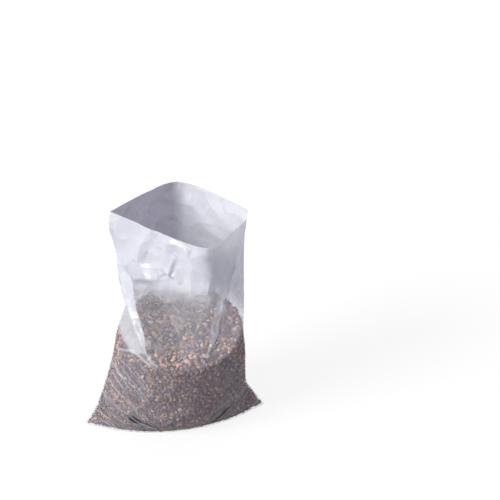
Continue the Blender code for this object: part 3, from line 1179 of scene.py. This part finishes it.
    def haze(self, grid: PanelGrid) -> np.ndarray:
        """How milky a panel is, from 0 where it clings to the fill.

        Args:
            grid: The panel's grid.

        Returns:
            The haze by row and column, 1 where the film is as milky as it gets
            by itself, and more along its fold lines.
        """
        contact = np.array([self.heap.contact(grid, i) for i in range(len(grid.around))])
        milky_from = self.milky_from
        if grid.panel is Panel.BACK:
            contact -= self.free_early
            milky_from = self.back_milky_from
        window = 2 * self.free_smoothing + 1
        padded = np.pad(contact, self.free_smoothing, mode="edge")
        contact = np.convolve(padded, np.full(window, 1 / window), mode="valid")
        milky = smooth_step((grid.heights - milky_from) / self.milky_over)[:, None]
        haze = (self.veil + (1 - self.veil) * milky) * np.ones((1, len(grid.around)))
        for patch in self.patches:
            haze += patch.change * self.inside(patch, grid)
        if grid.panel is Panel.BACK:
            haze += self.back_shade_patch.change * self.inside(self.back_shade_patch, grid)
        haze *= smooth_step((grid.heights[:, None] - contact[None, :]) / self.free_over)
        for crease in self.creases():
            if crease.haze:
                line = Crease(crease.points, crease.haze, self.haze_width, self.haze_width)
                haze += self.one_crease(line, grid)
        rim = (self.form.mouth_height - grid.heights) / self.haze_width
        haze += self.rim_haze * np.exp(-np.maximum(rim, 0.0))[:, None]
        return np.clip(haze, 0.0, self.most_haze)

    def inside(self, patch: HazePatch, grid: PanelGrid) -> np.ndarray:
        """How far each point of a panel lies inside a patch.

        Args:
            patch: The patch.
            grid: The panel's grid.

        Returns:
            1 well inside the outline and 0 outside it, by row and column.
        """
        girth = self.form.girth
        shape = grid.points.shape[:2]
        x = np.broadcast_to(((grid.around + girth / 2) % girth - girth / 2)[None, :], shape)
        y = np.broadcast_to(grid.heights[:, None], shape)
        crossings = np.zeros(shape, dtype=int)
        nearest = np.full(shape, np.inf)
        ends = patch.outline[1:] + patch.outline[:1]
        for (ax, ay), (bx, by) in zip(patch.outline, ends):
            dx, dy = bx - ax, by - ay
            t = np.clip(((x - ax) * dx + (y - ay) * dy) / (dx * dx + dy * dy), 0.0, 1.0)
            nearest = np.minimum(nearest, np.hypot(x - ax - t * dx, y - ay - t * dy))
            spans = (y >= min(ay, by)) & (y < max(ay, by))
            crossings += spans & (x < ax + (y - ay) * dx / (dy if dy else np.inf))
        signed = np.where(crossings % 2 == 1, nearest, -nearest)
        return smooth_step(0.5 + signed / patch.softness)

    def crease_rise(self, grid: PanelGrid) -> np.ndarray:
        """How far all the creases move each point of a panel out.

        Args:
            grid: The panel's grid.

        Returns:
            The rise by row and column, which fades out towards the floor.
        """
        rise = np.zeros(grid.points.shape[:2])
        for crease in self.creases():
            rise += self.one_crease(crease, grid)
        return rise * smooth_step((grid.heights - self.edge_from) / self.edge_over)[:, None]

    def one_crease(self, crease: Crease, grid: PanelGrid) -> np.ndarray:
        """One crease's rise over a panel.

        Args:
            crease: The crease.
            grid: The panel's grid.

        Returns:
            The rise by row and column, which tapers off at the crease's ends.
        """
        rise = np.zeros(grid.points.shape[:2])
        nearest = np.full_like(rise, np.inf)
        pieces = list(zip(crease.points, crease.points[1:]))
        run = [math.dist(a, b) for a, b in pieces]
        girth = self.form.girth
        done = 0.0
        for (a, b), length in zip(pieces, run):
            across = (grid.around - a[0] + girth / 2) % girth - girth / 2
            along = (b[0] - a[0], b[1] - a[1])
            dx, dy = across[None, :], (grid.heights - a[1])[:, None]
            t = np.clip((dx * along[0] + dy * along[1]) / length**2, 0.0, 1.0)
            away = np.hypot(dx - t * along[0], dy - t * along[1])
            side = along[0] * dy - along[1] * dx
            width = np.where(side > 0, crease.before_width, crease.after_width)
            share = (done + t * length) / sum(run)
            taper = np.sqrt(np.clip(4 * share * (1 - share), 0.0, 1.0))
            fall = np.clip(1 - away / width, 0.0, 1.0) if crease.crisp else np.exp(-away / width)
            rise = np.where(away < nearest, crease.rise * taper * fall, rise)
            nearest = np.minimum(nearest, away)
            done += length
        return rise

    def tuck(self, grid: PanelGrid) -> np.ndarray:
        """How much painted shadow each point of a panel takes in the tucks near the base.

        Args:
            grid: The panel's grid.

        Returns:
            The painted shadow by row and column, 0 outside the tucks.
        """
        shade = np.zeros(grid.points.shape[:2])
        for points, depth in self.tuck_shade_lines:
            line = Crease(points, depth, self.tuck_shade_width, self.tuck_shade_width)
            shade += self.one_crease(line, grid)
        return np.clip(shade, 0.0, self.darkest_tuck_shade)

    def pull(self, grid: PanelGrid) -> tuple[np.ndarray, np.ndarray]:
        """How the film is dragged towards the nearer lower corner.

        Args:
            grid: The panel's grid.

        Returns:
            A value that is the same all along each drag line, and the drag's
            strength from 0 to 1, both by row and column.
        """
        from_left = np.minimum(grid.around, self.form.girth - grid.around)
        from_right = np.abs(grid.around - self.form.flat_width)
        at = np.minimum(from_left, from_right)[None, :]
        heights = np.maximum(grid.heights, 0.0)[:, None]
        across = heights + self.pull_bend * at**2
        near, far = self.pull_reach
        low, high = self.pull_top
        left, right, behind = self.pull_strengths
        side = np.where(from_left < from_right, left, right)[None, :]
        if grid.panel is Panel.BACK:
            side = side * behind
        strength = side * (1 - smooth_step((at - near) / (far - near)))
        return across, strength * (1 - smooth_step((heights - low) / (high - low)))

    def sheet(self, name: str, grid: PanelGrid) -> Object:
        """Makes one panel as an open sheet, with what its material reads on its points.

        Args:
            name: The new object's name.
            grid: The panel's grid.

        Returns:
            The sheet.
        """
        across, strength = self.pull(grid)
        values = {
            "haze": self.haze(grid),
            "drag_across": across,
            "drag": strength,
            "film_round": np.broadcast_to(grid.around[None, :], across.shape),
            # Painted shadow in the tucks near the base.
            "tuck": self.tuck(grid),
            # Painted shade on the inside of the back panel's left part.
            "dim": self.inside(self.back_shade_patch, grid) * (grid.panel is Panel.BACK),
        }
        shape = bmesh.new()
        layers = {key: shape.verts.layers.float.new(key) for key in values}
        for vertex, place in grid_vertices(shape, across.shape):
            vertex.co = grid.points[place]
            for key, layer in layers.items():
                vertex[layer] = values[key][place]
        bmesh.ops.dissolve_degenerate(shape, dist=MERGE_DISTANCE, edges=shape.edges)
        shape.normal_update()
        if sum(face.normal.y * grid.panel.value for face in shape.faces) < 0:
            bmesh.ops.reverse_faces(shape, faces=shape.faces)
        self.surfaces.append(BVHTree.FromBMesh(shape))
        return as_object(shape, name)

    def overlap(self, point: Vector) -> tuple[float, Vector]:
        """How far a point lies beyond the film's inner side.

        Args:
            point: The point.

        Returns:
            The distance, below 0 inside the bag, and the way out there.
        """
        found = [tree.find_nearest(point) for tree in self.surfaces]
        near, out = min(found, key=lambda hit: hit[3])[:2]
        return (point - near).dot(out) + self.thickness, out


@dataclass(frozen=True)
class StoneSort:
    """One sort of stone in the mix: its colour and its share."""

    color: Color
    share: float


@dataclass(frozen=True)
class Spot:
    """A place for a stone to lie at, with the way out from the fill and its scale."""

    point: Vector
    out: Vector
    scale: float = 1.0


@dataclass
class GravelFill:
    """The gravel: separate stones just inside the film and on the heap, over a core."""

    film: FilmBag
    sorts: tuple[StoneSort, ...] = (
        StoneSort((0.240, 0.198, 0.216), 0.34),
        StoneSort((0.245, 0.170, 0.150), 0.24),
        StoneSort((0.385, 0.280, 0.180), 0.18),
        StoneSort((0.120, 0.090, 0.105), 0.10),
        StoneSort((0.480, 0.375, 0.280), 0.11),
        StoneSort((0.560, 0.480, 0.450), 0.03),
    )
    # Painted light and shade: the wall's stones are tinted darker and lilac as if in shade, the heap's
    # brighter and warmer as if lit.
    wall_painted_shade: Color = (0.92, 0.83, 0.92)
    heap_painted_light: Color = (1.80, 1.54, 1.44)
    stone_light: Span = (0.85, 1.2)
    kinds: int = 14
    hull_points: int = 13
    hull_reach: Span = (0.42, 0.52)
    mean_size: float = 0.0060
    size_spread: float = 0.26
    long_side: Span = (1.1, 1.45)
    short_side: Span = (0.8, 1.0)
    thin_side: float = 0.70
    tilt: float = 0.26
    spacing: float = 0.0041
    wall_tries: int = 6
    wall_top: float = 0.17
    wall_margin: float = 0.001
    heap_tries: int = 5
    heap_scale: float = 1.3
    heap_lift: float = 0.6
    heap_lowest: float = 0.10
    heap_slope_reach: float = 0.006
    film_clearance: float = 0.0004
    fit_tries: int = 7
    fit_shrink: float = 0.93
    seed: int = 5
    core_depth: float = 0.0030
    # As dark as the darkest stones: painted shade for the gaps between the stones.
    core_shade_color: Color = (0.110, 0.084, 0.092)
    core_middle: tuple[float, float, float] = (0.018, 0.004, 0.0)
    core_thick_from: float = 0.05
    core_thin_inset: float = 2.2
    core_columns: int = 96
    core_rows: tuple[int, int, int] = (4, 16, 10)

    def build(self) -> list[Object]:
        """Makes the core and its stones.

        Returns:
            The pieces, ready to show.
        """
        core = self.core()
        core.data.materials.append(StoneFinish("gravel_core", fleck_scale=260.0).material())
        finish = StoneFinish("mixed_gravel").material()
        made = [core]
        for number, layer in enumerate(Layer):
            dice = random.Random(self.seed + number)
            for name, spots in (("wall", self.wall_spots(dice)), ("heap", self.heap_spots(dice))):
                # Painted shade for the wall's stones, painted light for the heap's.
                light = self.wall_painted_shade if name == "wall" else self.heap_painted_light
                stones = self.stones(f"{name}_stones_{layer.name.lower()}", spots, layer, light, dice)
                stones.data.materials.append(finish)
                made.append(stones)
        return made

    def core(self) -> Object:
        """The mass of the fill behind the stones, which closes the gaps between them; its dark colour
        is painted shade for those gaps.

        Returns:
            The core: its rows run out over the base, up the wall and in over the top.
        """
        base_rows, wall_rows, top_rows = self.core_rows
        half = self.core_columns // 2
        sides = (self.film.grids[Panel.FRONT], self.film.grids[Panel.BACK])
        columns = [(grid, round(i * self.film.columns / half)) for grid in sides for i in range(half)]
        tops = [self.film.heap.contact(grid, column) - self.core_depth for grid, column in columns]
        middle = np.array(self.core_middle)
        size = (base_rows + wall_rows + top_rows + 1, self.core_columns + 1)
        shape = bmesh.new()
        for vertex, (row, number) in grid_vertices(shape, size):
            grid, column = columns[number % self.core_columns]
            top = tops[number % self.core_columns]
            share = min(max((row - base_rows) / wall_rows, 0.0), 1.0)
            point = grid.column_at(column, self.core_depth + (top - self.core_depth) * share)
            inward = middle - point
            inward[2] = 0.0
            thick = min(abs(point[1]) * 2, self.core_thick_from) / self.core_thick_from
            inset = self.core_thin_inset - (self.core_thin_inset - 1) * thick
            point += inward / np.linalg.norm(inward) * self.core_depth * inset
            if row < base_rows:
                point[:2] = middle[:2] * (1 - row / base_rows) + point[:2] * row / base_rows
            if row > base_rows + wall_rows:
                across = (row - base_rows - wall_rows) / top_rows
                point[:2] += (middle[:2] - point[:2]) * across
                point[2] = self.film.heap.height(point[0], point[1]) - self.core_depth
            vertex.co = point
        bmesh.ops.remove_doubles(shape, verts=shape.verts, dist=LEAST_DISTANCE)
        bmesh.ops.recalc_face_normals(shape, faces=shape.faces)
        made = as_object(shape, "gravel_core")
        color_points(made.data, self.core_shade_color)
        made.data.shade_smooth()
        return made

    def kind(self, dice: random.Random, number: int) -> Mesh:
        """One broken, worn stone of size 1: the hull of a few points on a ball.

        Args:
            dice: Where the chances come from.
            number: The kind's number.

        Returns:
            The stone's mesh.
        """
        shape = bmesh.new()
        for _ in range(self.hull_points):
            point = Vector([dice.gauss(0, 1) for _ in range(3)]).normalized()
            shape.verts.new(point * dice.uniform(*self.hull_reach))
        hull = bmesh.ops.convex_hull(shape, input=shape.verts)
        bmesh.ops.delete(shape, geom=hull["geom_interior"], context="VERTS")
        bmesh.ops.recalc_face_normals(shape, faces=shape.faces)
        mesh = as_mesh(shape, f"stone_kind_{number}")
        color_points(mesh, (1.0, 1.0, 1.0))
        return mesh

    def stones(
        self, name: str, spots: list[Spot], layer: Layer, light: Color, dice: random.Random
    ) -> Object:
        """One layer of stones as one mesh.

        Args:
            name: The new object's name.
            spots: Where the stones lie.
            layer: Which layer to make.
            light: What each stone's colour is multiplied by: painted shade for the wall's stones,
                painted light for the heap's.
            dice: Where the chances come from.

        Returns:
            The layer's object.
        """
        kinds = [self.kind(dice, number) for number in range(self.kinds)]
        shares = [sort.share for sort in self.sorts]
        shape = bmesh.new()
        for spot in spots:
            kind = dice.choice(kinds)
            sort = dice.choices(self.sorts, shares)[0]
            place = self.fitted(self.stone_place(spot, layer, dice), kind)
            if place is None:
                continue
            own = dice.uniform(*self.stone_light)
            color = opaque(tuple(c * g * own for c, g in zip(sort.color, light)))
            points = kind.color_attributes["stone_color"].data
            points.foreach_set("color", np.tile(color, len(points)))
            kind.transform(place)
            shape.from_mesh(kind)
            kind.transform(place.inverted())
        for kind in kinds:
            bpy.data.meshes.remove(kind)
        return as_object(shape, name)

    def stone_place(self, spot: Spot, layer: Layer, dice: random.Random) -> Matrix:
        """Lays a stone of size 1 just behind its spot.

        Args:
            spot: The stone's spot.
            layer: The layer that it belongs to.
            dice: Where the chances come from.

        Returns:
            The stone's matrix.
        """
        size = spot.scale * self.mean_size * math.exp(dice.gauss(0.0, self.size_spread))
        size = min(size, 2 * self.mean_size)
        long, short = dice.uniform(*self.long_side), dice.uniform(*self.short_side)
        sizes = Vector((size * long, size * short, size * self.thin_side))
        lean = Vector([dice.gauss(0, self.tilt) for _ in range(3)])
        turn = (spot.out + lean).normalized().to_track_quat("Z", "X").to_matrix()
        turn = turn @ Matrix.Rotation(dice.uniform(0, 2 * math.pi), 3, "Z")
        most = self.hull_reach[1]
        reach = math.sqrt(sum((sizes[i] * most * spot.out.dot(turn.col[i])) ** 2 for i in range(3)))
        centre = spot.point - spot.out * (reach + layer.value * self.mean_size * 0.5)
        return Matrix.Translation(centre) @ (turn @ Matrix.Diagonal(sizes)).to_4x4()

    def fitted(self, place: Matrix, kind: Mesh) -> Matrix | None:
        """Moves a stone back inside the film, smaller where it is tight.

        Args:
            place: The stone's matrix.
            kind: The stone's mesh.

        Returns:
            The new matrix, or none where the stone doesn't fit.
        """
        for _ in range(self.fit_tries):
            worst, way = 0.0, Vector()
            for vertex in kind.vertices:
                corner = place @ vertex.co
                beyond, out = self.film.overlap(corner)
                if beyond + self.film_clearance > worst:
                    worst, way = beyond + self.film_clearance, out
                if self.film_clearance - corner.z > worst:
                    worst, way = self.film_clearance - corner.z, Vector((0, 0, -1))
            if worst < LEAST_DISTANCE:
                return place
            place = Matrix.Translation(-way * worst) @ place @ Matrix.Scale(self.fit_shrink, 4)
        return None

    def spaced(self, spots: Iterable[Spot]) -> list[Spot]:
        """Leaves out spots that are too near to one before them.

        Args:
            spots: The spots.

        Returns:
            Those that are kept.
        """
        taken: dict[tuple[int, ...], list[Vector]] = {}
        kept = []
        steps = [(i, j, k) for i in (-1, 0, 1) for j in (-1, 0, 1) for k in (-1, 0, 1)]
        for spot in spots:
            apart = self.spacing * spot.scale
            cell = tuple(math.floor(value / apart) for value in spot.point)
            cells = (tuple(c + d for c, d in zip(cell, step)) for step in steps)
            near = (other for beside in cells for other in taken.get(beside, ()))
            if all((other - spot.point).length > apart for other in near):
                taken.setdefault(cell, []).append(spot.point)
                kept.append(spot)
        return kept

    def wall_spots(self, dice: random.Random) -> list[Spot]:
        """Spots all over the film's inside, up to where the heap meets it.

        Args:
            dice: Where the chances come from.

        Returns:
            The spots.
        """
        found = []
        for grid in self.film.grids.values():
            normals = grid.normals()
            tops = [self.film.heap.contact(grid, column) for column in range(len(grid.around))]
            rows = np.flatnonzero(grid.heights >= 0.0)
            area = self.film.form.flat_width * self.wall_top
            for _ in range(int(area / self.spacing**2 * self.wall_tries)):
                row = dice.choice(rows[:-1])
                column = dice.randrange(len(grid.around) - 1)
                if grid.heights[row] > tops[column] - self.wall_margin:
                    continue
                share, across = dice.random(), dice.random()
                below, above = (
                    grid.points[at, column] * (1 - across) + grid.points[at, column + 1] * across
                    for at in (row, row + 1)
                )
                out = Vector(normals[row, column]).normalized()
                point = Vector(below * (1 - share) + above * share)
                found.append(Spot(point - out * self.film_clearance, out))
        dice.shuffle(found)
        return self.spaced(found)

    def heap_spots(self, dice: random.Random) -> list[Spot]:
        """Spots on the heap's top.

        Args:
            dice: Where the chances come from.

        Returns:
            The spots.
        """
        low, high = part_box("gravel_fill")
        step = self.heap_slope_reach
        height = self.film.heap.height
        found = []
        for _ in range(int((high.x - low.x) * (high.y - low.y) / self.spacing**2 * self.heap_tries)):
            x, y = dice.uniform(low.x, high.x), dice.uniform(low.y, high.y)
            z = height(x, y)
            right, left = height(x + step, y), height(x - step, y)
            behind, before = height(x, y + step), height(x, y - step)
            if min(z, right, left, behind, before) < self.heap_lowest:
                continue
            slope = Vector(((left - right) / (4 * step), (before - behind) / (4 * step), 1.0))
            lift = dice.uniform(0.0, self.heap_lift) * self.mean_size * 0.5
            found.append(Spot(Vector((x, y, z + lift)), slope.normalized(), self.heap_scale))
        return self.spaced(found)


@dataclass
class LargeStones:
    """The larger stones that lie on the gravel, with their worn surfaces."""

    tones: tuple[Color, ...] = (
        (0.62, 0.52, 0.42),
        (0.055, 0.045, 0.05),
        (0.66, 0.58, 0.48),
        (0.70, 0.62, 0.52),
        (0.30, 0.19, 0.12),
        (0.36, 0.24, 0.15),
        (0.34, 0.22, 0.14),
        (0.60, 0.50, 0.38),
        (0.36, 0.25, 0.17),
        (0.08, 0.065, 0.07),
        (0.58, 0.48, 0.38),
        (0.10, 0.085, 0.09),
    )
    fineness: int = 2
    smoothing: float = 0.5
    wear: float = 0.0007
    wear_scale: float = 210.0
    wear_from: float = -0.3
    wear_roughness: float = 0.8
    wear_octaves: int = 3

    def build(self) -> list[Object]:
        """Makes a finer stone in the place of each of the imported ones.

        Returns:
            The stones, ready to show.
        """
        made = []
        finish = StoneFinish("large_stone").material()
        for number, tone in enumerate(self.tones, 1):
            node = f"large_stone_{number:02d}"
            stone = evaluated_copy(bpy.data.objects[node], f"{node}_worn")
            rounding = stone.modifiers.new("Rounding", "SUBSURF")
            rounding.levels = self.fineness
            rounding.render_levels = self.fineness
            rounding.subdivision_type = "SIMPLE"
            settle_modifiers(stone)
            self.wear_down(stone, number)
            color_points(stone.data, tone)
            stone.data.materials.clear()
            stone.data.materials.append(finish)
            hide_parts(node)
            made.append(stone)
        return made

    def wear_down(self, stone: Object, number: int) -> None:
        """Chips and rounds a stone's surface, inwards.

        Args:
            stone: The stone.
            number: Its number, which gives it chips of its own.
        """
        shape = bmesh.new()
        shape.from_mesh(stone.data)
        axes = {f"use_axis_{axis}": True for axis in "xyz"}
        bmesh.ops.smooth_vert(shape, verts=shape.verts, factor=self.smoothing, **axes)
        shape.normal_update()
        for vertex in shape.verts:
            at = vertex.co * self.wear_scale + Vector((number, 0, 0))
            chip = noise.fractal(at, self.wear_roughness, 2.0, self.wear_octaves)
            vertex.co -= vertex.normal * self.wear * max(chip - self.wear_from, 0.0)
        shape.to_mesh(stone.data)
        shape.free()
        stone.data.shade_smooth()


@dataclass
class Studio:
    """The floor, the lights and the camera."""

    camera_place: Vector = field(default_factory=lambda: Vector((-0.22102, -1.83179, 1.36321)))
    camera_aim: Vector = field(default_factory=lambda: Vector((0.12356, 0.0, 0.29366)))
    lens: float = 100.6
    sensor: float = 36.0
    sun_from: Vector = field(default_factory=lambda: Vector((-0.83, -0.30, 0.47)))
    sun_strength: float = 3.3
    sun_color: Color = (1.0, 0.97, 0.92)
    sun_width: float = math.radians(28)
    ambient: float = 0.52
    ambient_color: Color = (0.97, 0.90, 1.0)
    floor_size: float = 8.0
    floor_height: float = -0.0002
    floor_color: Color = (0.60, 0.60, 0.60)
    floor_roughness: float = 0.9
    floor_glow: float = 0.7
    floor_white: float = 1.20

    def build(self) -> None:
        """Sets the studio up round the bag."""
        self.floor()
        self.surround()
        self.sun()
        self.camera()
        bpy.context.scene.view_settings.view_transform = "Standard"

    def floor(self) -> None:
        """A plain pale floor, which keeps the bag's shadow."""
        shape = bmesh.new()
        bmesh.ops.create_grid(shape, x_segments=1, y_segments=1, size=self.floor_size / 2)
        floor = as_object(shape, "studio_floor")
        floor.location.z = self.floor_height
        made = bpy.data.materials.new("pale_floor")
        floor.data.materials.append(made)
        tree = NodeTree(made)
        plain = tree.nodes["Principled BSDF"]
        color = opaque(self.floor_color)
        tree.feed(plain, {"Base Color": color, "Roughness": self.floor_roughness})
        glow = tree.nodes.new("ShaderNodeEmission")
        tree.feed(glow, {"Strength": self.floor_white})
        share = tree.math("MULTIPLY", self.seen_directly(tree), self.floor_glow)
        tree.shaders(share, plain, glow, "Material Output")

    def seen_directly(self, tree: NodeTree) -> NodeSocket:
        """Adds what tells the rays that see the backdrop from those that light the bag.

        Args:
            tree: The nodes of the floor or the world.

        Returns:
            1 for camera, glossy and transmission rays, and 0 for the rest.
        """
        path = tree.nodes.new("ShaderNodeLightPath").outputs
        seen = tree.math("MAXIMUM", path["Is Camera Ray"], path["Is Glossy Ray"])
        return tree.math("MAXIMUM", seen, path["Is Transmission Ray"])

    def surround(self) -> None:
        """Soft light from all round, behind a white backdrop."""
        world = bpy.data.worlds.new("studio")
        bpy.context.scene.world = world
        tree = NodeTree(world)
        soft = tree.nodes["Background"]
        tree.feed(soft, {"Color": opaque(self.ambient_color), "Strength": self.ambient})
        white = tree.nodes.new("ShaderNodeBackground")
        tree.feed(white, {"Color": opaque((1.0, 1.0, 1.0)), "Strength": 1.0})
        tree.shaders(self.seen_directly(tree), soft, white, "World Output")

    def sun(self) -> None:
        """The key light, from the left and a little in front."""
        light = bpy.data.lights.new("key", "SUN")
        light.energy = self.sun_strength
        light.color = self.sun_color
        light.angle = self.sun_width
        lamp = link(bpy.data.objects.new("key", light))
        lamp.rotation_euler = self.sun_from.to_track_quat("Z", "Y").to_euler()

    def camera(self) -> None:
        """The camera, from where the photograph was taken."""
        data = bpy.data.cameras.new("camera")
        data.lens = self.lens
        data.sensor_width = self.sensor
        camera = link(bpy.data.objects.new("camera", data))
        camera.location = self.camera_place
        aim = self.camera_aim - self.camera_place
        camera.rotation_euler = aim.to_track_quat("-Z", "Y").to_euler()
        bpy.context.scene.camera = camera


def report(piece: Object, slot: str) -> None:
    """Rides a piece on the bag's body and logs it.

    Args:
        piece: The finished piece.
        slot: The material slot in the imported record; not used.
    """
    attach(piece, BODY)
    log.info("%s: %d faces", piece.name, len(piece.data.polygons))


def main() -> None:
    """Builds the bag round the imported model, and its studio."""
    logging.basicConfig(level=logging.INFO, format="%(message)s")
    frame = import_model()
    Studio().build()
    film = FilmBag(StandingForm(), Heap())
    for piece in film.build():
        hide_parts("film_bag")
        report(piece, "clear_film")
    for piece in GravelFill(film).build():
        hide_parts("gravel_fill")
        report(piece, "gravel")
    slots = {part["node"]: part["material_slot"] for part in frame["record"]["subparts"]}
    for stone in LargeStones().build():
        report(stone, slots[stone.name.removesuffix("_worn")])


if __name__ == "__main__":
    main()
